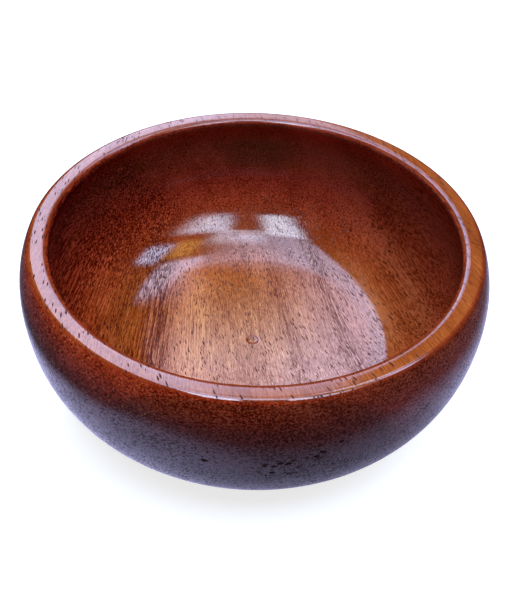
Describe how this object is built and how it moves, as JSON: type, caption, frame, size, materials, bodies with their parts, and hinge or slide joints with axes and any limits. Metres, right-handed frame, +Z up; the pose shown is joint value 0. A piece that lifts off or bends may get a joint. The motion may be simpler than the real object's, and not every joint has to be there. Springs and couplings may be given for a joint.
{
  "type": "wooden bowl",
  "caption": "Turned hardwood bowl with a rounded belly, drawn-in rim and glossy clear finish, for serving or holding food and small things.",
  "frame": {"origin": "centre of the foot, on the plane the bowl stands on", "axes": "+Z up along the turning axis; the wood's grain runs along Y"},
  "size_m": [0.16, 0.16, 0.0657],
  "materials": {
    "lacquered_hardwood": "reddish-brown open-pored hardwood under a glossy clear lacquer",
    "plug_wood": "end grain of the same hardwood under the same clear lacquer"
  },
  "bodies": {
    "root": {"bowl_body": "lacquered_hardwood", "centre_plug": "plug_wood"}
  },
  "joints": []
}
